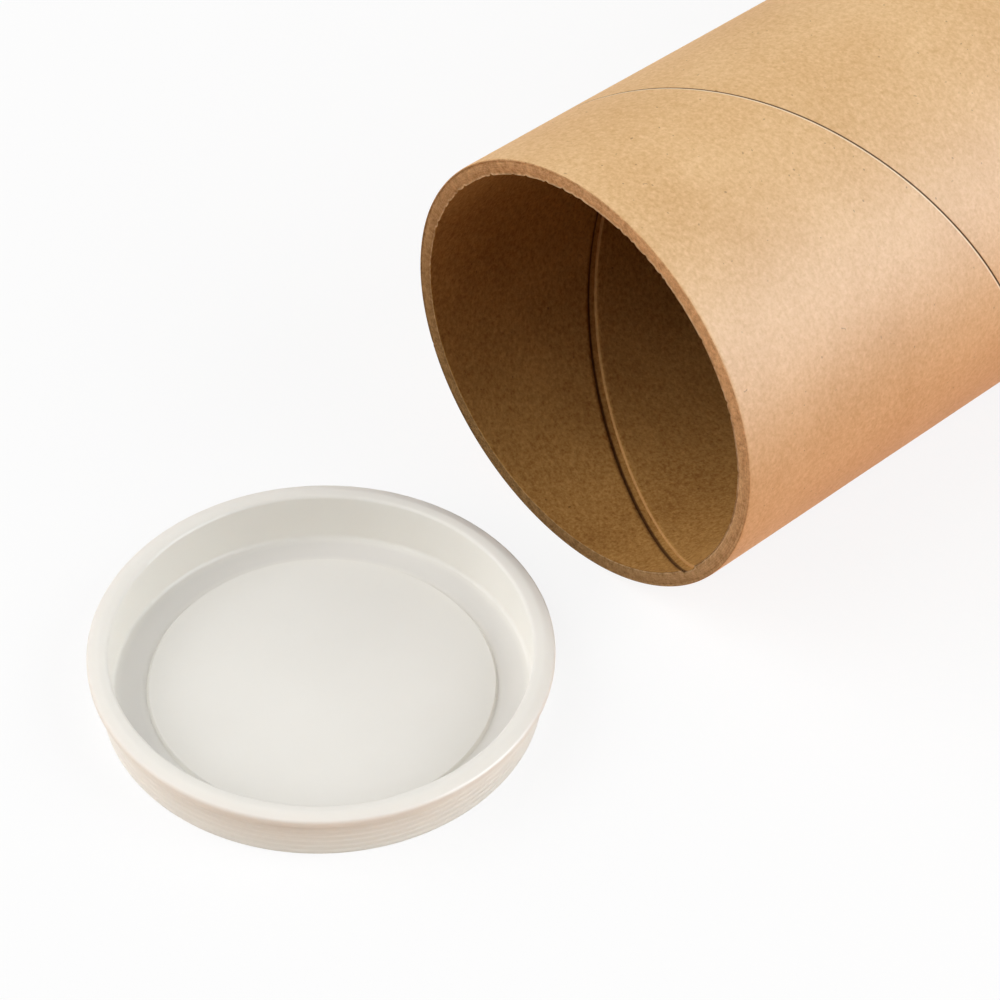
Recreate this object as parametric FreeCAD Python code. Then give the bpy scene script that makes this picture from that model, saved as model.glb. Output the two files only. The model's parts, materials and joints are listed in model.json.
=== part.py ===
"""Cardboard mailing tube, spiral wound, with a push-in plastic cap for each end.

The tube lies on its side with its mouth towards -Y. One cap is off and lies open side up on the
floor in front of the mouth. Its twin closes the far end. Millimetres, +Z up, origin in the middle of
the footprint, on the floor.
"""

import FreeCAD, Part
import math
import os

from FreeCAD import Placement, Rotation, Vector

# Tube
BORE_DIAMETER = 100.0
TUBE_WALL = 3.8
TUBE_LENGTH = 450.0
CUT_EDGE_CHAMFER = 0.6

# Winding of the paper strips, a right-handed helix with one lead for every ply
WINDING_LEAD = 157.0
INNER_PLY = 0.6
INNER_GAP_WIDTH = 2.4
INNER_GAP_ANGLE = 41.0
OUTER_PLY = 0.35
OUTER_SEAM_WIDTH = 0.5
OUTER_SEAM_ANGLE = 155.9

# Push-in cap, and the far end of the tube, which the tapered plug of the fitted cap has widened
PLUG_CLEARANCE = 0.05
PLUG_DEPTH = 11.7
PLUG_TAPER = 0.2
SEAT_LEAD = 0.3
FLANGE_OVERLAP = 2.5
FLANGE_EDGE = 1.2
CROWN_RISE = 1.3
CROWN_SLOPE = 1.6
LIP_CHAMFER = 0.6
RIB_COUNT = 4
RIB_HEIGHT = 0.4
PLAIN_BAND = 1.5
FOOT_CHAMFER = 0.6
PLUG_WALL = 2.3
WEB_THICKNESS = 1.0
CHANNEL_WIDTH = 8.4
PANEL_RAISE = 0.9
PANEL_EDGE_SLOPE = 0.5

# Where the loose cap lies, seen from the mouth
CAP_GAP = 20.6
CAP_ASIDE = 4.8

# Sizes that follow
BORE_RADIUS = BORE_DIAMETER / 2
TUBE_RADIUS = BORE_RADIUS + TUBE_WALL
FLANGE_RADIUS = BORE_RADIUS + FLANGE_OVERLAP
PLUG_RADIUS = BORE_RADIUS - PLUG_CLEARANCE
CAP_HEIGHT = PLUG_DEPTH + FLANGE_EDGE + CROWN_RISE
SEAT_DEPTH = PLUG_DEPTH + SEAT_LEAD
CAP_AHEAD = CAP_GAP + FLANGE_RADIUS

# The footprint's middle is the origin
LEFT = min(-TUBE_RADIUS, -CAP_ASIDE - FLANGE_RADIUS)
RIGHT = max(TUBE_RADIUS, -CAP_ASIDE + FLANGE_RADIUS)
FRONT = -CAP_AHEAD - FLANGE_RADIUS
BACK = TUBE_LENGTH + CAP_HEIGHT - PLUG_DEPTH
MOUTH = Vector(-(LEFT + RIGHT) / 2, -(FRONT + BACK) / 2, TUBE_RADIUS)

X_AXIS = Vector(1, 0, 0)
Z_AXIS = Vector(0, 0, 1)


def closed(points):
    """Closed wire through points."""
    return Part.makePolygon([*points, points[0]])


def turned(outline):
    """Solid of revolution about Z of a closed outline of (radius, height) points."""
    wire = closed([Vector(radius, 0, height) for radius, height in outline])
    return Part.Face(wire).revolve(Vector(0, 0, 0), Z_AXIS, 360)


def along_axis(width, radius):
    """Length along the axis of a width that is measured square to the strips' edges, at a radius."""
    return width * math.hypot(1, WINDING_LEAD / (2 * math.pi * radius))


def winding_groove(section, angle):
    """Cutter that follows the winding from end to end and past both.

    section has (radius, distance along the axis) points, and angle is where its middle meets the mouth.
    """
    overrun = max(abs(distance) for _, distance in section) * 2
    helix = Part.makeHelix(WINDING_LEAD, TUBE_LENGTH + 2 * overrun, section[0][0])
    sweep = Part.BRepOffsetAPI.MakePipeShell(Part.Wire(helix.Edges))
    sweep.setBiNormalMode(Z_AXIS)
    sweep.add(closed([Vector(radius, 0, distance) for radius, distance in section]))
    sweep.build()
    sweep.makeSolid()
    cutter = sweep.shape()
    cutter.translate(Vector(0, 0, -overrun))
    cutter.rotate(Vector(0, 0, 0), Z_AXIS, angle - 360 * overrun / WINDING_LEAD)
    return cutter


def inner_gap():
    """Cutter for the open gap between the edges of the inner ply."""
    half = along_axis(INNER_GAP_WIDTH, BORE_RADIUS) / 2
    floor = BORE_RADIUS + INNER_PLY
    inside = BORE_RADIUS - INNER_PLY
    section = [(inside, -half), (floor, -half), (floor, half), (inside, half)]
    return winding_groove(section, INNER_GAP_ANGLE)


def outer_seam():
    """Cutter for the V between the rounded edges of the outer ply, twice as high as the V is deep."""
    mouth = along_axis(OUTER_SEAM_WIDTH, TUBE_RADIUS)
    outside = TUBE_RADIUS + OUTER_PLY
    section = [(TUBE_RADIUS - OUTER_PLY, 0), (outside, -mouth), (outside, mouth)]
    return winding_groove(section, OUTER_SEAM_ANGLE)


def widening(height):
    """How much wider in radius the tapered plug is at a height above its foot."""
    return PLUG_TAPER * height / PLUG_DEPTH


def wound_tube():
    """The glued tube along Z, mouth at the origin, with the gap and the seam that its strips leave."""
    wall = turned([
        (BORE_RADIUS, 0),
        (TUBE_RADIUS - CUT_EDGE_CHAMFER, 0),
        (TUBE_RADIUS, CUT_EDGE_CHAMFER),
        (TUBE_RADIUS, TUBE_LENGTH - CUT_EDGE_CHAMFER),
        (TUBE_RADIUS - CUT_EDGE_CHAMFER, TUBE_LENGTH),
        (BORE_RADIUS + widening(SEAT_DEPTH), TUBE_LENGTH),
        (BORE_RADIUS, TUBE_LENGTH - SEAT_DEPTH),
    ])
    return wall.cut(inner_gap()).cut(outer_seam())


def rib_points():
    """Outline of the grip ribs round the plug, up to the plain band under the flange."""
    pitch = (PLUG_DEPTH - PLAIN_BAND - FOOT_CHAMFER) / RIB_COUNT
    points = []
    for i in range(RIB_COUNT):
        crest = FOOT_CHAMFER + (i + 1) * pitch
        valley = crest - pitch / 2
        points += [
            (PLUG_RADIUS + widening(valley) - RIB_HEIGHT, valley),
            (PLUG_RADIUS + widening(crest), crest),
        ]
    return points


def push_in_cap():
    """The moulded cap along Z, foot at the origin and open side up."""
    inside = PLUG_RADIUS - PLUG_WALL
    panel = inside - CHANNEL_WIDTH
    panel_top = WEB_THICKNESS + PANEL_RAISE
    return turned([
        (0, PANEL_RAISE),
        (panel - PANEL_EDGE_SLOPE, PANEL_RAISE),
        (panel, 0),
        (PLUG_RADIUS - FOOT_CHAMFER, 0),
        (PLUG_RADIUS + widening(FOOT_CHAMFER), FOOT_CHAMFER),
        *rib_points(),
        (PLUG_RADIUS + widening(PLUG_DEPTH), PLUG_DEPTH),
        (FLANGE_RADIUS, PLUG_DEPTH),
        (FLANGE_RADIUS, PLUG_DEPTH + FLANGE_EDGE),
        (FLANGE_RADIUS - CROWN_SLOPE, CAP_HEIGHT),
        (inside + LIP_CHAMFER, CAP_HEIGHT),
        (inside, CAP_HEIGHT - LIP_CHAMFER),
        (inside, WEB_THICKNESS),
        (panel + PANEL_EDGE_SLOPE, WEB_THICKNESS),
        (panel, panel_top),
        (0, panel_top),
    ])


def placed(shape, position, tilt):
    """Copy of a shape turned by tilt degrees about X and moved to position."""
    result = shape.copy()
    result.Placement = Placement(position, Rotation(X_AXIS, tilt))
    return result


def build():
    """Every piece by name, in its place."""
    cap = push_in_cap()
    far_end = MOUTH + Vector(0, TUBE_LENGTH - PLUG_DEPTH, 0)
    on_floor = Vector(MOUTH.x - CAP_ASIDE, MOUTH.y - CAP_AHEAD, 0)
    return {
        "tube": placed(wound_tube(), MOUTH, -90),
        "front_cap": placed(cap, on_floor, 0),
        "rear_cap": placed(cap, far_end, -90),
    }


os.makedirs("parts", exist_ok=True)
for name, shape in build().items():
    shape.exportStep(f"parts/{name}.step")
    box = shape.BoundBox
    print(f"{name}: {len(shape.Solids)} solid, valid {shape.isValid()}, {shape.Volume:.0f} mm3, "
          f"X {box.XMin:.2f} to {box.XMax:.2f}, Y {box.YMin:.2f} to {box.YMax:.2f}, "
          f"Z {box.ZMin:.2f} to {box.ZMax:.2f}")
print(f"mouth at {MOUTH.x:.3f}, {MOUTH.y:.3f}, {MOUTH.z:.3f}")
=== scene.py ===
"""Spirally wound cardboard mailing tube with a push-in plastic cap for each end, on a pale floor."""

import json
import math

import bpy
import numpy as np
from mathutils import Matrix, Vector


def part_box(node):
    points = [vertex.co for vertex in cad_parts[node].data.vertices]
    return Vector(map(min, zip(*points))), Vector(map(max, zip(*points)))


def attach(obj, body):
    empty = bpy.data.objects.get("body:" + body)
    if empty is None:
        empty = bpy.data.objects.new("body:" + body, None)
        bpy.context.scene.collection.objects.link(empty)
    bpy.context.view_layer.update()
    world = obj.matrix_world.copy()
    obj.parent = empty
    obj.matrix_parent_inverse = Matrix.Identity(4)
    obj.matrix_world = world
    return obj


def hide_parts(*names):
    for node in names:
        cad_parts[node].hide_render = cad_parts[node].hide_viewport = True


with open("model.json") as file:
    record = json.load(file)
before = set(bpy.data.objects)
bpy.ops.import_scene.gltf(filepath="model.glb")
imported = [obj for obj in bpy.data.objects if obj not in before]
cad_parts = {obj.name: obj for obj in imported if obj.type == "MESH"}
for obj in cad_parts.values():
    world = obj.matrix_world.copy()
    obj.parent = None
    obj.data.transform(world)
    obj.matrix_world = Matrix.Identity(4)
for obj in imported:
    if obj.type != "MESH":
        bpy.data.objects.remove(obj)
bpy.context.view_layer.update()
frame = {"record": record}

MM = 0.001
MICRON = 1e-6
FULL_TURN = 2 * math.pi

# Tube, in metres
mouth_mount = next(mount for mount in frame["record"]["mounts"] if mount["name"] == "mouth")
tube_low, tube_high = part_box("tube")
MOUTH = Vector((mouth_mount["pos_m"][0], tube_low.y, mouth_mount["pos_m"][2]))
TUBE_LENGTH = tube_high.y - tube_low.y
WALL = 3.8 * MM
BORE_RADIUS = mouth_mount["dims"]["r_mm"] * MM
TUBE_RADIUS = BORE_RADIUS + WALL

# Winding, as in the solids: a right-handed helix, angles from the mouth
WINDING_LEAD = 157.0 * MM
INNER_PLY = 0.6 * MM
INNER_GAP_WIDTH = 2.4 * MM
INNER_GAP_ANGLE = math.radians(41.0)
OUTER_SEAM_ANGLE = math.radians(155.9)
OUTER_SEAM_DEPTH = 0.3 * MM
OUTER_SEAM_HALF = 0.22 * MM

# Unevenness of the plies: the gap's frayed lips and the swell of the outer ply. Waves are per radian
# round the tube and per metre along it.
GAP_FRAY = 0.05 * MM
GAP_FRAY_WAVES = (60, 900)
GAP_LIP = 0.12 * MM
GAP_SHARE_IN_SEAT = 0.7
SKIN_SWELL = 0.03 * MM
SKIN_SWELL_WAVES = (2, 30)

# Mesh of the tube, with distances from the middle of a groove where the rows lie close together
COLUMNS = 420
COLUMN_NUDGE = 0.0015
END_BAND = 0.8 * MM
SEAM_STEPS = np.array([0, 0.06, 0.14, 0.22, 0.5, 1.2]) * MM
SEAM_COARSE_ROWS = 14
GAP_STEPS = np.array([0, 0.55, 1.06, 1.12, 1.17, 1.22, 1.3, 2.2]) * MM
GAP_COARSE_ROWS = 12
SKIN, BORE, CUT = 0, 1, 2

# Cut ends of the board
CUT_EDGE_ROUND = 0.55 * MM
CUT_EDGE_STEPS = 5
CUT_LAYERS = 14
CUT_CROWN = 0.3 * MM
CUT_TORN = 0.05 * MM
INNER_EDGE_BREAK = 0.1 * MM

# Nicks of the inner edge, mostly on the upper side: where the noise passes NICK_FROM, and how much of a
# nick is left at two depths in the bore
NICK_DEPTH = 1.4 * MM
NICK_FROM = 0.15
NICK_LIMIT = 0.4
NICKS_AT_THE_SIDES = 0.4
NICKED_ROWS = ((0.12 * MM, 0.9), (0.4 * MM, 0.55))

# Cap, in metres from its axis and its foot
cap_low, cap_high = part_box("front_cap")
CAP_CENTRE = Vector(((cap_low.x + cap_high.x) / 2, (cap_low.y + cap_high.y) / 2, 0))
CAP_HEIGHT = cap_high.z
FLANGE_RADIUS = 52.5 * MM
PLUG_RADIUS = 49.95 * MM
PLUG_DEPTH = 11.7 * MM
PLUG_TAPER = 0.2 * MM
CAP_INSIDE = 47.65 * MM
PANEL_RADIUS = 39.25 * MM
PANEL_TOP = 1.9 * MM
PANEL_UNDER = 0.9 * MM
PANEL_SLOPE = 0.5 * MM
WEB = 1.0 * MM
RIB_GROOVES = 6
RIB_FIRST = 1.7 * MM
RIB_PITCH = 1.55 * MM
RIB_HALF = 0.5 * MM
RIB_DEPTH = 0.16 * MM
SEAT_DEPTH = 12.0 * MM
CAP_COLUMNS = 256
ARC_STEPS = 5

# Rounds of the cap, and where the flat parts of its rim end
PANEL_ROUND = 0.3 * MM
FOOT_ROUND = 0.7 * MM
RIB_SIDE_ROUND = 0.5 * MM
RIB_FLOOR_ROUND = 0.4 * MM
NECK_ROUND = 0.2 * MM
FLANGE_FOOT_ROUND = 0.4 * MM
FLANGE_TOP_ROUND = 0.85 * MM
FLANGE_TOP_DROP = 0.75 * MM
RIM_ROUND = 3.0 * MM
RIM_WIDTH = 2.3 * MM
LIP_ROUND = 0.9 * MM
MOAT_ROUND = 1.0 * MM

# How far the soft wall's inside and lip give, from this radius inwards
LIP_GIVE = 0.32 * MM
LIP_SAG = 0.3 * MM
GIVE_FROM = PLUG_RADIUS - 0.15 * MM
GIVE_WIDTH = 1.2 * MM
LOOSE_UNEVENNESS = 1.0
FITTED_UNEVENNESS = 0.4

# Camera, from the mouth's middle on the floor
CAMERA_PLACE = Vector((403.9, -410.8, 562.8)) * MM
CAMERA_TURN = math.radians(46.198)
CAMERA_DOWN = math.radians(43.571)
CAMERA_ROLL = math.radians(1.455)
CAMERA_LENS_MM = 122.3
SENSOR_MM = 36.0


def colour(red, green, blue):
    """Linear colour from the 0 to 255 values of a screen."""
    def linear(value):
        value = value / 255
        return value / 12.92 if value <= 0.04045 else ((value + 0.055) / 1.055) ** 2.4
    return (linear(red), linear(green), linear(blue), 1.0)


# Noise scales of the paper, per metre
FIBRE_STRETCH = (700, 1300, 1)
GRAIN_SCALE = 1500.0
SPOT_SCALE = 800.0
CLOUD_SCALE = 38.0
FLECK_SCALE = 1050.0
FLECK_STRENGTH = 0.5

# Colours of the paper and the board
OUTER_PALE = colour(233, 195, 146)
OUTER_DEEP = colour(208, 164, 111)
OUTER_FLECK = colour(130, 86, 46)
SEAM_LINE = colour(78, 46, 20)
# Painted highlight on the ply's edge beside the seam
SEAM_EDGE_HIGHLIGHT = colour(250, 230, 200)
INNER_PALE = colour(184, 139, 78)
INNER_DEEP = colour(138, 94, 43)
INNER_FLECK = colour(52, 28, 12)
# The gap's cut edge: its paler fibres, and a painted highlight where it faces the light
GAP_CUT_EDGE_AND_HIGHLIGHT = colour(214, 164, 108)
GAP_SHADE = colour(62, 32, 12)
CUT_PALE = colour(240, 195, 145)
CUT_DEEP = colour(184, 140, 94)
# Painted shade of the cut face, for its lower side and its -X side
CUT_PALE_SHADED = colour(128, 97, 51)
CUT_DEEP_SHADED = colour(84, 61, 27)
CUT_SEAM = colour(116, 78, 44)
CUT_INNER_PLY = colour(232, 202, 160)

# Colours of the plastic
CAP_WHITE = colour(236, 233, 226)
CAP_WHITE_PALE = colour(239, 236, 229)
# Painted shade in the moat round the floor panel
CAP_MOAT_SHADE = colour(227, 224, 219)

# Stage: the floor's own colour is for rays of light only, and what is seen of it is near white
FLOOR_BOUNCE = (0.76, 0.31, 0.085, 1)
FLOOR_BY_CAPS = (0.88, 0.80, 0.72, 1)
FLOOR_SEEN = (0.9, 0.9, 0.9, 1)
FLOOR_GLOW = (1, 1, 1, 1)
FLOOR_GLOW_SHARE = 0.85
FLOOR_HALF_SIDE = 6.0
BY_CAPS_REACH = (0.06, 0.12)
BEHIND_TUBE = Vector((MOUTH.x, MOUTH.y + TUBE_LENGTH + 60 * MM, 0))
WORLD_COLOUR = (1.0, 0.99, 0.98, 1)
WORLD_AMBIENT = 0.04

# Lamps: target, direction from it, distance along that, size of the disk and power in watts
MIDDLE = MOUTH + Vector((0, 0.03, 0))
FAR_END = MOUTH + Vector((0, TUBE_LENGTH, 0))
LAMPS = {
    "window": (MIDDLE, (0.8, 0.4, 0.6), 1.4, 1.3, 15.5),
    "front": (MIDDLE, (-0.32, -0.8, 0.85), 1.3, 1.8, 19.2),
    "left": (MIDDLE, (-1.0, -0.45, 0.6), 1.3, 1.6, 8.4),
    "ceiling": (MIDDLE, (0.15, 0.35, 1.4), 1.0, 1.2, 0.7),
    "back": (FAR_END, (-0.3, 1.0, 0.45), 1.2, 1.0, 4.5),
    "sheen": (MIDDLE, (0.78, 0.48, 0.38), 1.5, 1.2, 128.0),
}
SHEEN_COLOUR = (0.80, 0.94, 1.0)


def new_object(name, vertices, faces, face_materials, materials):
    """Smooth mesh object from lists, with a material index for every face."""
    mesh = bpy.data.meshes.new(name)
    mesh.from_pydata([tuple(v) for v in vertices], [], faces)
    for material in materials:
        mesh.materials.append(material)
    mesh.polygons.foreach_set("material_index", face_materials)
    mesh.polygons.foreach_set("use_smooth", [True] * len(faces))
    obj = bpy.data.objects.new(name, mesh)
    bpy.context.scene.collection.objects.link(obj)
    return obj


def noise(x, y, seed):
    """Smooth repeatable waves in -1 to 1 from two coordinates."""
    total = np.zeros(np.broadcast(x, y).shape)
    for i in range(1, 6):
        phase = seed * 1.7 + i * 2.3
        total += np.sin(x * (1.3 * i + 0.7) + phase + 1.9 * np.sin(y * (0.9 * i + 0.4) + phase * 1.3))
    return total / 5


def winding_slope(radius):
    """Angle between the winding and a circle round the tube."""
    return math.atan(WINDING_LEAD / (FULL_TURN * radius))


def groove_centre(theta, start_angle):
    """Distance from the mouth of a groove's middle, where theta runs from +X to +Z."""
    return -WINDING_LEAD * (theta + start_angle) / FULL_TURN


def groove_offset(theta, distance, radius, start_angle):
    """Signed distance, square to the winding, from the nearest turn of a groove's middle."""
    away = distance - groove_centre(theta, start_angle)
    away = (away + WINDING_LEAD / 2) % WINDING_LEAD - WINDING_LEAD / 2
    return away * math.cos(winding_slope(radius))


def inner_relief(theta, distance):
    """How far the bore's wall stands back: the depth of the open gap, with its lips a little frayed."""
    offset = np.abs(groove_offset(theta, distance, BORE_RADIUS, INNER_GAP_ANGLE))
    round_waves, long_waves = GAP_FRAY_WAVES
    fray = GAP_FRAY * noise(theta * round_waves, distance * long_waves, 3)
    edge = (INNER_GAP_WIDTH / 2 + fray - offset) / GAP_LIP
    return INNER_PLY * np.clip(edge + 0.5, 0, 1)


def outer_relief(theta, distance):
    """How far the outer ply stands back at its seam."""
    offset = np.abs(groove_offset(theta, distance, TUBE_RADIUS, OUTER_SEAM_ANGLE))
    return OUTER_SEAM_DEPTH * np.clip(1 - offset / OUTER_SEAM_HALF, 0, 1)


def bore_radius(theta, distance):
    """Radius of the bore's wall, which the fitted cap's taper widens at the far end."""
    into_seat = np.clip(distance - (TUBE_LENGTH - SEAT_DEPTH), 0, SEAT_DEPTH)
    widened = into_seat * PLUG_TAPER / PLUG_DEPTH
    gap_share = np.where(into_seat > 0, GAP_SHARE_IN_SEAT, 1)
    return BORE_RADIUS + widened + inner_relief(theta, distance) * gap_share


def skin_radius(theta, distance):
    """Radius of the outer ply, never quite even."""
    round_waves, long_waves = SKIN_SWELL_WAVES
    swell = SKIN_SWELL * (noise(theta * round_waves, distance * long_waves, 1) - 1)
    return TUBE_RADIUS + swell - outer_relief(theta, distance)


def ply_places(corners, radius, start_angle, turn=None):
    """Unrolled places along and across one ply, in metres, of a face's (angle, distance) corners."""
    slope = winding_slope(radius)
    width = WINDING_LEAD * math.cos(slope)
    places = []
    for angle, distance in corners:
        x = radius * (angle + start_angle)
        across = x * math.sin(slope) + distance * math.cos(slope)
        if turn is None:
            turn = math.floor(across / width)
        along = (x - FULL_TURN * radius * turn) * math.cos(slope) - distance * math.sin(slope)
        places.append((along, across - turn * width))
    return places


def stations(steps, radius, coarse_count):
    """Shares of one turn of the winding, close together at both sides of a groove."""
    fine = steps / math.cos(winding_slope(radius)) / WINDING_LEAD
    coarse = np.linspace(fine[-1], 1 - fine[-1], coarse_count + 1)[1:-1]
    return np.concatenate([fine, coarse, 1 - fine[::-1]])


def column_angles():
    """Angles of the mesh columns, with extra ones where a groove's sides cross the ends of the tube."""
    grooves = (
        (INNER_GAP_ANGLE, BORE_RADIUS, INNER_GAP_WIDTH / 2),
        (OUTER_SEAM_ANGLE, TUBE_RADIUS, OUTER_SEAM_HALF / 2),
    )
    angles = list(np.linspace(0, FULL_TURN, COLUMNS, endpoint=False))
    for end in (0, TUBE_LENGTH):
        for start, radius, half in grooves:
            middle = -start - end * FULL_TURN / WINDING_LEAD
            half_turn = half / math.cos(winding_slope(radius)) * FULL_TURN / WINDING_LEAD
            for side in (-1, 1):
                for nudge in (-COLUMN_NUDGE, COLUMN_NUDGE):
                    angles.append((middle + side * half_turn + nudge) % FULL_TURN)
    return np.array(sorted(angles))


def wound_skin(theta, start_angle, radius, radius_at, across, inward):
    """Grid that follows the winding, cut square near both ends.

    Gives the vertices, the faces, their texture coordinates along and across the ply, and the vertex of
    every column at the near and at the far cut.
    """
    per_turn = len(across) - 1
    turns = range(-1, math.ceil(TUBE_LENGTH / WINDING_LEAD) + 2)
    rows = np.array([(turn + w) * WINDING_LEAD for turn in turns for w in across[:-1]])
    turn_of_row = np.array([turn for turn in turns for _ in across[:-1]])
    raw = groove_centre(theta, start_angle)[:, None] + rows[None, :]
    distance = np.clip(raw, END_BAND, TUBE_LENGTH - END_BAND)
    ids = {}
    vertices = []

    def vertex(column, row):
        key = (column, round(distance[column, row] / MICRON))
        if key not in ids:
            ids[key] = len(vertices)
            angle = theta[column]
            s = distance[column, row]
            r = radius_at(angle, s)
            vertices.append((r * math.cos(angle), s, r * math.sin(angle)))
        return ids[key]

    faces = []
    coordinates = []
    count = len(theta)
    for column in range(count):
        wrapped = column == count - 1
        beside = 0 if wrapped else column + 1
        shift = per_turn if wrapped else 0
        for row in range(shift, len(rows) - 1):
            corners = [
                (column, row, False),
                (beside, row - shift, wrapped),
                (beside, row - shift + 1, wrapped),
                (column, row + 1, False),
            ]
            if not inward:
                corners.reverse()
            face = []
            at = []
            for c, r, turned in corners:
                v = vertex(c, r)
                if v not in face:
                    face.append(v)
                    at.append((theta[c] + (FULL_TURN if turned else 0), distance[c, r]))
            if len(face) > 2:
                faces.append(face)
                coordinates.append(ply_places(at, radius, start_angle, turn_of_row[row]))
    near = [ids[(c, round(END_BAND / MICRON))] for c in range(count)]
    far = [ids[(c, round((TUBE_LENGTH - END_BAND) / MICRON))] for c in range(count)]
    return vertices, faces, coordinates, near, far


def cut_end_rows(theta, end):
    """Rows of points round a cut end, from the skin over the cut face into the bore.

    Each row has its radii, its depths into the tube, its kind and its share of the way through the wall.
    """
    def row(radii, depth, kind, layer):
        return radii, np.broadcast_to(depth, theta.shape), kind, layer

    def at(depth):
        return depth if end == 0 else TUBE_LENGTH - depth

    rows = []
    for step in range(1, CUT_EDGE_STEPS):
        turn = math.radians(90 * step / CUT_EDGE_STEPS)
        depth = CUT_EDGE_ROUND * (1 - math.sin(turn))
        drop = CUT_EDGE_ROUND * (1 - math.cos(turn))
        kind = SKIN if turn < math.radians(45) else CUT
        rows.append(row(skin_radius(theta, at(depth)) - drop, depth, kind, 0.0))
    outer = skin_radius(theta, at(0.0)) - CUT_EDGE_ROUND
    nicks = NICK_DEPTH * np.clip(noise(theta * 75, theta * 31, 2) - NICK_FROM, 0, NICK_LIMIT)
    nicks = nicks * np.clip(np.sin(theta) + NICKS_AT_THE_SIDES, 0, 1)
    inner = bore_radius(theta, at(0.0)) + INNER_EDGE_BREAK + nicks
    for i in range(CUT_LAYERS + 1):
        share = i / CUT_LAYERS
        radii = outer + (inner - outer) * share
        rough = CUT_TORN * (1 + noise(theta * 45 + i * 3.1, np.full(theta.shape, i * 1.3), 5 + end))
        torn = CUT_TORN * (1 + noise(theta * 160, np.full(theta.shape, i * 5.7), 9))
        crown = CUT_CROWN * (2 * share - 0.9) ** 2
        depth = crown + rough * (0.4 + 0.6 * math.sin(math.pi * share)) + torn * 0.6
        rows.append(row(radii, depth, CUT, share))
    for depth, nick_share in NICKED_ROWS:
        rows.append(row(bore_radius(theta, at(depth)) + nick_share * nicks, depth, BORE, 1.0))
    return rows


def tube_mesh(materials):
    """The wound tube as one closed mesh, with the board's cut ends."""
    theta = column_angles()
    count = len(theta)
    skin = wound_skin(
        theta, OUTER_SEAM_ANGLE, TUBE_RADIUS, skin_radius,
        stations(SEAM_STEPS, TUBE_RADIUS, SEAM_COARSE_ROWS), inward=False,
    )
    bore = wound_skin(
        theta, INNER_GAP_ANGLE, BORE_RADIUS, bore_radius,
        stations(GAP_STEPS, BORE_RADIUS, GAP_COARSE_ROWS), inward=True,
    )
    skin_vertices, skin_faces, skin_places, skin_near, skin_far = skin
    bore_vertices, bore_faces, bore_places, bore_near, bore_far = bore
    base = len(skin_vertices)
    vertices = skin_vertices + bore_vertices
    faces = skin_faces + [[v + base for v in face] for face in bore_faces]
    places = skin_places + bore_places
    kinds = [SKIN] * len(skin_faces) + [BORE] * len(bore_faces)
    layers = {}
    for end, skin_ring, bore_ring in ((0, skin_near, bore_near), (1, skin_far, bore_far)):
        last = np.full(count, END_BAND if end == 0 else TUBE_LENGTH - END_BAND)
        rings = [(np.array(skin_ring), SKIN, last)]
        for radii, depth, kind, layer in cut_end_rows(theta, end):
            ring = np.arange(count) + len(vertices)
            s = depth if end == 0 else TUBE_LENGTH - depth
            vertices += list(zip(radii * np.cos(theta), s, radii * np.sin(theta)))
            layers.update({int(v): layer for v in ring})
            rings.append((ring, kind, s))
        rings.append((np.array(bore_ring) + base, BORE, last))
        for (ring_a, kind_a, s_a), (ring_b, kind_b, s_b) in zip(rings, rings[1:]):
            kind = CUT if CUT in (kind_a, kind_b) else kind_b
            ply = (BORE_RADIUS, INNER_GAP_ANGLE) if kind == BORE else (TUBE_RADIUS, OUTER_SEAM_ANGLE)
            for column in range(count):
                beside = (column + 1) % count
                turned = theta[beside] + (FULL_TURN if beside == 0 else 0)
                face = [ring_a[column], ring_a[beside], ring_b[beside], ring_b[column]]
                at = [
                    (theta[column], s_a[column]),
                    (turned, s_a[beside]),
                    (turned, s_b[beside]),
                    (theta[column], s_b[column]),
                ]
                if end:
                    face.reverse()
                    at.reverse()
                faces.append([int(v) for v in face])
                places.append(ply_places(at, *ply))
                kinds.append(kind)
    placed = [MOUTH + Vector((x, s, z)) for x, s, z in vertices]
    obj = new_object("wound_tube", placed, faces, kinds, materials)
    uv = obj.data.uv_layers.new(name="winding")
    uv.data.foreach_set("uv", [value for place in places for pair in place for value in pair])
    layer_data = obj.data.attributes.new("layer", "FLOAT", "POINT")
    layer_data.data.foreach_set("value", [layers.get(i, 0.0) for i in range(len(vertices))])
    return obj


def rounded(corners):
    """Points through (radius, height, round) corners, each rounded by a tangent arc."""
    points = []
    for i, (r, z, arc) in enumerate(corners):
        corner = Vector((r, z))
        if not arc or i in (0, len(corners) - 1):
            points.append(corner)
            continue
        before = (Vector(corners[i - 1][:2]) - corner).normalized()
        after = (Vector(corners[i + 1][:2]) - corner).normalized()
        half = before.angle(after) / 2
        centre = corner + (before + after).normalized() * (arc / math.sin(half))
        start = corner + before * (arc / math.tan(half)) - centre
        end = corner + after * (arc / math.tan(half)) - centre
        sweep = start.angle_signed(end)
        for step in range(ARC_STEPS + 1):
            turned = start.copy()
            turned.rotate(Matrix.Rotation(-sweep * step / ARC_STEPS, 2))
            points.append(centre + turned)
    return points


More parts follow.
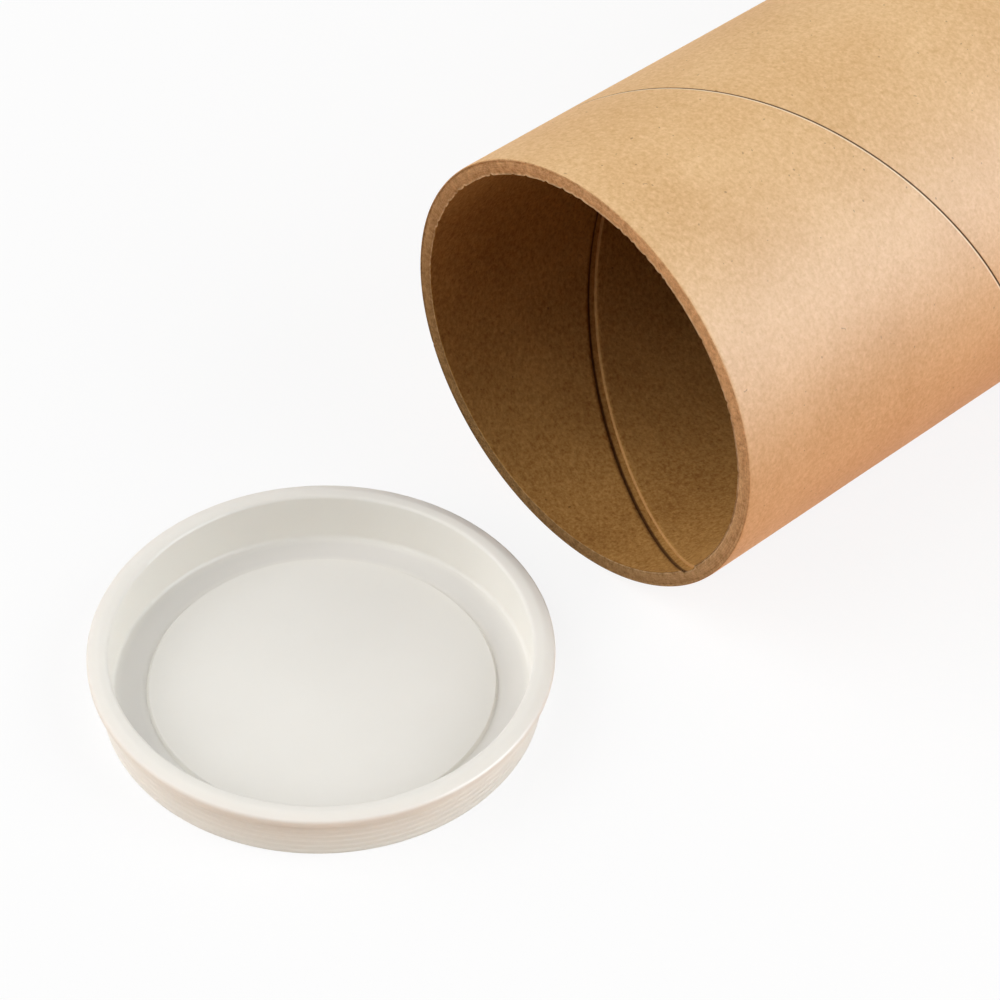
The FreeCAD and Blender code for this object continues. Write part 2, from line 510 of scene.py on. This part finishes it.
def cap_profile():
    """Outline of the cap from the middle of its underside round to the middle of its floor."""
    corners = [
        (0, PANEL_UNDER, 0),
        (PANEL_RADIUS - PANEL_SLOPE, PANEL_UNDER, PANEL_ROUND),
        (PANEL_RADIUS, 0, PANEL_ROUND),
        (PLUG_RADIUS, 0, FOOT_ROUND),
    ]
    for i in range(RIB_GROOVES):
        middle = RIB_FIRST + i * RIB_PITCH
        side = PLUG_RADIUS + PLUG_TAPER * middle / PLUG_DEPTH
        corners += [
            (side, middle - RIB_HALF, RIB_SIDE_ROUND),
            (side - RIB_DEPTH, middle, RIB_FLOOR_ROUND),
            (side, middle + RIB_HALF, RIB_SIDE_ROUND),
        ]
    corners += [
        (PLUG_RADIUS + PLUG_TAPER, PLUG_DEPTH, NECK_ROUND),
        (FLANGE_RADIUS, PLUG_DEPTH, FLANGE_FOOT_ROUND),
        (FLANGE_RADIUS, CAP_HEIGHT - FLANGE_TOP_DROP, FLANGE_TOP_ROUND),
        (FLANGE_RADIUS - RIM_WIDTH, CAP_HEIGHT, RIM_ROUND),
        (CAP_INSIDE, CAP_HEIGHT, LIP_ROUND),
        (CAP_INSIDE, WEB, MOAT_ROUND),
        (PANEL_RADIUS + PANEL_SLOPE, WEB, PANEL_ROUND),
        (PANEL_RADIUS, PANEL_TOP, PANEL_ROUND),
        (0, PANEL_TOP, 0),
    ]
    return rounded(corners)


def uneven(radius, height, angle, amount):
    """A point of the cap, where the soft wall's inside gives in and down a little, most at the lip."""
    across = min(max((GIVE_FROM - radius) / GIVE_WIDTH, 0.0), 1.0)
    up = min(max((height - PANEL_TOP) / (CAP_HEIGHT - PANEL_TOP), 0.0), 1.0)
    share = amount * across * up
    inward = sum(math.sin(k * angle + k * k + 2.0 * up) / k for k in (2, 3, 5, 8))
    down = (1 + sum(math.sin(k * angle + 3 * k) / k for k in (3, 4, 7))) / 2
    return radius - LIP_GIVE * share * inward, height - LIP_SAG * share * down


def cap_mesh(name, material, unevenness):
    """The moulded cap about Z, foot at the origin and open side up."""
    profile = cap_profile()
    angles = [FULL_TURN * i / CAP_COLUMNS for i in range(CAP_COLUMNS)]
    vertices = [(0, 0, profile[0].y), (0, 0, profile[-1].y)]
    rings = []
    for point in profile[1:-1]:
        rings.append(len(vertices))
        for angle in angles:
            r, z = uneven(point.x, point.y, angle, unevenness)
            vertices.append((r * math.cos(angle), r * math.sin(angle), z))
    faces = []
    for i in range(CAP_COLUMNS):
        j = (i + 1) % CAP_COLUMNS
        faces.append([0, rings[0] + j, rings[0] + i])
        faces.append([1, rings[-1] + i, rings[-1] + j])
        for ring, above in zip(rings, rings[1:]):
            faces.append([ring + i, ring + j, above + j, above + i])
    return new_object(name, vertices, faces, [0] * len(faces), [material])


class Nodes:
    """Short way to add and join the shader nodes of a material or of the world."""

    def __init__(self, owner):
        self.owner = owner
        owner.use_nodes = True
        self.tree = owner.node_tree

    def add(self, kind, inputs=None, **settings):
        node = self.tree.nodes.new(kind)
        for key, value in settings.items():
            setattr(node, key, value)
        for key, value in (inputs or {}).items():
            self.feed(value, node.inputs[key])
        return node

    def feed(self, value, socket):
        if isinstance(value, bpy.types.NodeSocket):
            self.tree.links.new(value, socket)
        else:
            socket.default_value = value

    def shade(self, inputs):
        """Feeds the Principled shader's sockets."""
        shader = self.tree.nodes["Principled BSDF"]
        for key, value in inputs.items():
            self.feed(value, shader.inputs[key])

    def math(self, operation, a, b=0.0, clamp=False):
        return self.add("ShaderNodeMath", {0: a, 1: b}, operation=operation, use_clamp=clamp).outputs[0]

    def between(self, value, low, high, out_low=0.0, out_high=1.0):
        """Value from low to high, as a number from out_low to out_high."""
        node = self.add("ShaderNodeMapRange", {
            "Value": value, "From Min": low, "From Max": high, "To Min": out_low, "To Max": out_high})
        return node.outputs["Result"]

    def spread(self, noise, out_low=0.0, out_high=1.0):
        """A noise, nearly all of which lies in 0.3 to 0.7, as a number from out_low to out_high."""
        return self.between(noise, 0.3, 0.7, out_low, out_high)

    def noise(self, vector, scale, detail=2.0, roughness=0.5):
        node = self.add("ShaderNodeTexNoise", {
            "Vector": vector, "Scale": scale, "Detail": detail, "Roughness": roughness})
        return node.outputs["Fac"]

    def near(self, value, centre, half, soft):
        """1 where value is within half of centre, fading to 0 over soft."""
        away = self.math("ABSOLUTE", self.math("SUBTRACT", value, centre))
        return self.between(away, half, half + soft, 1.0, 0.0)

    def stretched(self, vector, scale):
        return self.add("ShaderNodeMapping", {"Vector": vector, "Scale": scale}).outputs["Vector"]

    def place(self):
        """Place on the object."""
        return self.add("ShaderNodeTexCoord").outputs["Object"]

    def coordinate(self, vector, axis):
        return self.add("ShaderNodeSeparateXYZ", {"Vector": vector}).outputs[axis]

    def mix(self, share, a, b):
        return self.add("ShaderNodeMix", {0: share, 6: a, 7: b}, data_type="RGBA").outputs[2]

    def tinted(self, base, share, amount, tint):
        """The base with the tint laid over it where share is 1, by the amount."""
        return self.mix(self.math("MULTIPLY", share, amount), base, tint)

    def bump(self, height, distance, strength):
        node = self.add("ShaderNodeBump", {"Height": height, "Distance": distance, "Strength": strength})
        return node.outputs["Normal"]

    def seen(self):
        """1 for what the camera sees directly, by reflection or through something clear."""
        path = self.add("ShaderNodeLightPath").outputs
        total = path["Is Camera Ray"]
        for name in ("Is Glossy Ray", "Is Transmission Ray"):
            total = self.math("ADD", total, path[name], clamp=True)
        return total


def paper(name, pale, deep, fleck, grain_share, mottle_share, fleck_from):
    """Kraft paper: mottled fibres, soft clouds and a few tiny dark flecks.

    Gives the nodes, the colour so far, the place across the ply and the tone of the fibres.
    """
    n = Nodes(bpy.data.materials.new(name))
    winding = n.add("ShaderNodeUVMap", uv_map="winding").outputs["UV"]
    across = n.coordinate(winding, "Y")
    place = n.place()
    fibres = n.noise(n.stretched(winding, FIBRE_STRETCH), 1.0, 3.0, 0.6)
    grain = n.noise(place, GRAIN_SCALE, 3.0, 0.65)
    spots = n.noise(place, SPOT_SCALE)
    clouds = n.noise(place, CLOUD_SCALE, 3.0)
    fine = n.math("ADD", n.math("MULTIPLY", fibres, 0.35), n.math("MULTIPLY", grain, 0.65))
    tone = n.between(fine, 0.32, 0.68, -grain_share, grain_share)
    tone = n.math("ADD", tone, n.spread(spots, -mottle_share, mottle_share))
    tone = n.math("ADD", tone, n.spread(clouds, -0.2, 0.2))
    base = n.mix(n.math("ADD", tone, 0.5, clamp=True), deep, pale)
    flecks = n.between(n.noise(place, FLECK_SCALE, 0.0), fleck_from, fleck_from + 0.04)
    return n, n.tinted(base, flecks, FLECK_STRENGTH, fleck), across, tone


def outer_paper():
    """Smooth kraft with a dark hairline at the seam and, beside it, a pale line that is a painted highlight
    on the ply's edge.
    """
    n, base, across, tone = paper(
        "kraft_outside", OUTER_PALE, OUTER_DEEP, OUTER_FLECK,
        grain_share=0.38, mottle_share=0.24, fleck_from=0.825,
    )
    width = WINDING_LEAD * math.cos(winding_slope(TUBE_RADIUS))
    to_next = n.math("SUBTRACT", width, across)
    # Painted highlight: a pale line along the ply's edge beside the seam
    lifted_edge_highlight = n.near(to_next, 0.42 * MM, 0.08 * MM, 0.14 * MM)
    base = n.tinted(base, lifted_edge_highlight, 0.8, SEAM_EDGE_HIGHLIGHT)
    nearest = n.math("MINIMUM", across, to_next)
    line = n.near(nearest, 0.0, 0.16 * MM, 0.1 * MM)
    n.shade({
        "Base Color": n.tinted(base, line, 0.93, SEAM_LINE),
        "Roughness": 0.6,
        "Specular IOR Level": 0.2,
        "Normal": n.bump(tone, 0.03 * MM, 0.5),
    })
    return n.owner


def inner_paper():
    """Coarse brown paper, with the gap's cut edge paler from its fibres and a painted highlight, and
    painted shade along the gap's other edge.
    """
    n, base, across, tone = paper(
        "kraft_inside", INNER_PALE, INNER_DEEP, INNER_FLECK,
        grain_share=0.42, mottle_share=0.26, fleck_from=0.84,
    )
    width = WINDING_LEAD * math.cos(winding_slope(BORE_RADIUS))
    half = INNER_GAP_WIDTH / 2
    to_next = n.math("SUBTRACT", width, across)
    # The gap's cut edge: partly its paler fibres, partly a painted highlight where it faces the light
    cut_edge_and_highlight = n.near(across, half + 0.08 * MM, 0.12 * MM, 0.15 * MM)
    base = n.tinted(base, cut_edge_and_highlight, 0.45, GAP_CUT_EDGE_AND_HIGHLIGHT)
    shaded = n.near(to_next, half - 0.35 * MM, 0.35 * MM, 0.3 * MM)
    n.shade({
        "Base Color": n.tinted(base, shaded, 0.8, GAP_SHADE),
        "Roughness": 0.85,
        "Specular IOR Level": 0.15,
        "Normal": n.bump(tone, 0.06 * MM, 0.6),
    })
    return n.owner


def cut_board():
    """The cut end: torn fibres in many fine layers, paler at the innermost ply, with painted shade that
    makes it darker low down and towards -X.
    """
    n = Nodes(bpy.data.materials.new("board_cut"))
    place = n.place()
    layer = n.add("ShaderNodeAttribute", attribute_name="layer").outputs["Fac"]
    wobble = n.math("MULTIPLY", n.noise(place, 260.0, 3.0, 0.6), 0.08)
    plies = n.math("FRACT", n.math("MULTIPLY", n.math("ADD", layer, wobble), 6.0))
    seam = n.between(n.math("ABSOLUTE", n.math("SUBTRACT", plies, 0.5)), 0.36, 0.5)
    fibres = n.noise(place, 1500.0, 5.0, 0.7)
    clumps = n.noise(place, 520.0, 3.0, 0.6)
    tone = n.math("ADD", n.spread(fibres, -0.45, 0.45), n.spread(clumps, -0.35, 0.35))
    # Painted shade: the cut face is darker towards the floor and towards -X
    by_height = n.between(n.coordinate(place, "Z"), 0.0, 0.1, 0.0, 0.6)
    by_side = n.between(n.coordinate(place, "X"), -0.05, 0.05, 0.0, 0.4)
    unshaded_share = n.math("ADD", by_height, by_side)
    pale = n.mix(unshaded_share, CUT_PALE_SHADED, CUT_PALE)
    deep = n.mix(unshaded_share, CUT_DEEP_SHADED, CUT_DEEP)
    base = n.mix(n.math("ADD", tone, 0.5, clamp=True), deep, pale)
    base = n.tinted(base, seam, 0.25, CUT_SEAM)
    inner_ply = n.math("MULTIPLY", n.between(layer, 0.88, 0.94), n.between(clumps, 0.4, 0.6, 0.15, 0.6))
    relief = n.math("SUBTRACT", tone, n.math("MULTIPLY", seam, 0.5))
    n.shade({
        "Base Color": n.mix(inner_ply, base, CUT_INNER_PLY),
        "Roughness": 0.95,
        "Specular IOR Level": 0.1,
        "Normal": n.bump(relief, 0.16 * MM, 0.9),
    })
    return n.owner


def cap_plastic():
    """Soft white moulded polyethylene with a faint satin grain, and painted shade in the moat round the
    floor panel.
    """
    n = Nodes(bpy.data.materials.new("cap_white"))
    place = n.place()
    flat = n.stretched(place, (1, 1, 0))
    radius = n.add("ShaderNodeVectorMath", {0: flat}, operation="LENGTH").outputs["Value"]
    height = n.coordinate(place, "Z")
    # Painted shade: a greyer ring in the moat between the wall and the floor panel
    moat_shade = n.near(radius, (PANEL_RADIUS + CAP_INSIDE) / 2, 2.0 * MM, 2.4 * MM)
    moat_shade = n.math("MULTIPLY", moat_shade, n.between(height, 1.2 * MM, 3.0 * MM, 1.0, 0.0))
    haze = n.noise(place, 30.0)
    grain = n.noise(place, 2200.0)
    base = n.mix(n.spread(haze), CAP_WHITE, CAP_WHITE_PALE)
    n.shade({
        "Base Color": n.mix(moat_shade, base, CAP_MOAT_SHADE),
        "Roughness": n.spread(grain, 0.44, 0.5),
        "Specular IOR Level": 0.25,
        "Subsurface Weight": 0.4,
        "Subsurface Scale": 1.0,
        "Subsurface Radius": (1.9 * MM, 1.82 * MM, 1.76 * MM),
        "Normal": n.bump(grain, 0.01 * MM, 0.4),
    })
    return n.owner


def make_floor():
    """Floor that looks pale, keeps the object's shadow and throws warm light back on the object."""
    mesh = bpy.data.meshes.new("floor")
    size = FLOOR_HALF_SIDE
    corners = [(-size, -size, 0), (size, -size, 0), (size, size, 0), (-size, size, 0)]
    mesh.from_pydata(corners, [], [(0, 1, 2, 3)])
    floor = bpy.data.objects.new("floor", mesh)
    bpy.context.scene.collection.objects.link(floor)
    n = Nodes(bpy.data.materials.new("floor_pale"))
    n.tree.nodes.remove(n.tree.nodes["Principled BSDF"])
    seen = n.seen()
    place = n.place()
    away = [
        n.add("ShaderNodeVectorMath", {0: place, 1: centre}, operation="DISTANCE").outputs["Value"]
        for centre in (CAP_CENTRE, BEHIND_TUBE)
    ]
    bounce = n.mix(n.between(n.math("MINIMUM", *away), *BY_CAPS_REACH), FLOOR_BY_CAPS, FLOOR_BOUNCE)
    diffuse = n.add("ShaderNodeBsdfDiffuse", {"Color": n.mix(seen, bounce, FLOOR_SEEN)})
    glow = n.add("ShaderNodeEmission", {"Color": FLOOR_GLOW})
    share = n.math("MULTIPLY", seen, FLOOR_GLOW_SHARE)
    both = n.add("ShaderNodeMixShader", {0: share, 1: diffuse.outputs[0], 2: glow.outputs[0]})
    n.feed(both.outputs[0], n.tree.nodes["Material Output"].inputs["Surface"])
    mesh.materials.append(n.owner)


def make_world():
    """Weak light from all round, seen as plain white."""
    n = Nodes(bpy.data.worlds.new("studio"))
    bpy.context.scene.world = n.owner
    background = n.tree.nodes["Background"]
    n.feed(WORLD_COLOUR, background.inputs["Color"])
    n.feed(n.between(n.seen(), 0.0, 1.0, WORLD_AMBIENT, 1.0), background.inputs["Strength"])


def make_lights():
    """A window on the right with its sheen on the paper, soft light from the front and left, weak fills."""
    for name, (target, direction, distance, size, power) in LAMPS.items():
        data = bpy.data.lights.new(name, "AREA")
        data.shape = "DISK"
        data.size = size
        data.energy = power
        lamp = bpy.data.objects.new(name, data)
        bpy.context.scene.collection.objects.link(lamp)
        lamp.location = target + Vector(direction) * distance
        lamp.rotation_euler = (target - lamp.location).to_track_quat("-Z", "Y").to_euler()
    sheen = bpy.data.objects["sheen"]
    sheen.visible_diffuse = False
    sheen.data.color = SHEEN_COLOUR


def make_camera():
    """The photograph's view, found by fitting the mouth, the cap and the sides of the tube."""
    data = bpy.data.cameras.new("camera")
    data.lens = CAMERA_LENS_MM
    data.sensor_width = SENSOR_MM
    data.clip_start = 0.05
    data.clip_end = 50
    camera = bpy.data.objects.new("camera", data)
    bpy.context.scene.collection.objects.link(camera)
    turn = (
        Matrix.Rotation(CAMERA_TURN, 4, "Z")
        @ Matrix.Rotation(math.pi / 2 - CAMERA_DOWN, 4, "X")
        @ Matrix.Rotation(CAMERA_ROLL, 4, "Z")
    )
    place = Vector((MOUTH.x, MOUTH.y, 0)) + CAMERA_PLACE
    camera.matrix_world = Matrix.Translation(place) @ turn
    bpy.context.scene.camera = camera


def make_tube():
    tube = tube_mesh([outer_paper(), inner_paper(), cut_board()])
    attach(tube, "tube")
    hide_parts("tube")


def make_caps():
    plastic = cap_plastic()
    loose = cap_mesh("loose_cap", plastic, LOOSE_UNEVENNESS)
    loose.matrix_world = Matrix.Translation(CAP_CENTRE)
    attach(loose, "tube")
    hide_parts("front_cap")
    fitted = cap_mesh("fitted_cap", plastic, FITTED_UNEVENNESS)
    seat = MOUTH + Vector((0, TUBE_LENGTH - PLUG_DEPTH, 0))
    fitted.matrix_world = Matrix.Translation(seat) @ Matrix.Rotation(-math.pi / 2, 4, "X")
    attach(fitted, "rear_cap")
    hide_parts("rear_cap")


make_tube()
make_caps()
make_floor()
make_world()
make_lights()
make_camera()

scene = bpy.context.scene
scene.view_settings.view_transform = "Standard"
